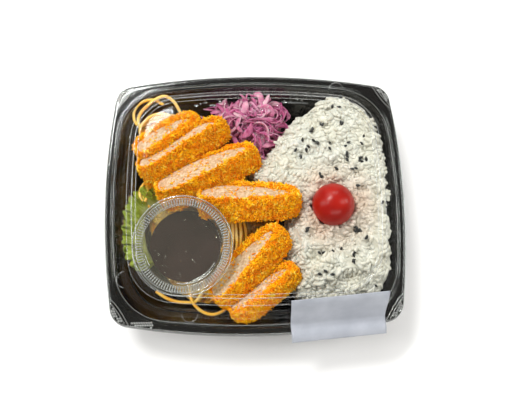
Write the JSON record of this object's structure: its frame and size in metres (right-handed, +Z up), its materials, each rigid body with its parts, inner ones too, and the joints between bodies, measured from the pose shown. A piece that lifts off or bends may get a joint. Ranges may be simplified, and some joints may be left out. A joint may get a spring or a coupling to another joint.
{
  "type": "boxed cutlet meal",
  "caption": "Takeaway meal in a black tray with a clear lid: rice with a cherry tomato, sliced crumbed cutlets on noodles, pickled red cabbage, lettuce and a lidded cup of sauce.",
  "frame": {"origin": "on the surface that the tray stands on, under the middle of the whole meal", "axes": "+X to the right along the box's longer side, +Y to its back, +Z up; the label is on the front edge"},
  "size_m": [0.1998, 0.1803, 0.0565],
  "materials": {
    "black_plastic": "black thermoformed sheet, glossy",
    "clear_plastic": "clear thermoformed sheet, glossy",
    "label_paper": "plain coated paper sticker",
    "sauce": "dark brown thick sauce, glossy",
    "tomato_skin": "smooth red skin, glossy",
    "crumb_coat": "golden fried coarse crumbs, rough",
    "meat": "pale cooked meat, moist",
    "rice": "cooked white grains, soft sheen",
    "noodles": "cooked noodles, oiled",
    "lettuce": "frilled green leaf",
    "red_cabbage": "pickled pink shreds, wet"
  },
  "bodies": {
    "root": {"tray": "black_plastic", "lid": "clear_plastic", "label": "label_paper", "cup": "clear_plastic", "cup_lid": "clear_plastic", "sauce": "sauce", "tomato": "tomato_skin", "slice_a_coat": "crumb_coat", "slice_a_meat": "meat", "slice_b_coat": "crumb_coat", "slice_b_meat": "meat", "slice_c_coat": "crumb_coat", "slice_c_meat": "meat", "slice_d_coat": "crumb_coat", "slice_d_meat": "meat", "slice_e_coat": "crumb_coat", "slice_e_meat": "meat", "slice_f_coat": "crumb_coat", "slice_f_meat": "meat", "rice": "rice", "noodles": "noodles", "lettuce": "lettuce", "red_cabbage": "red_cabbage"}
  },
  "joints": []
}
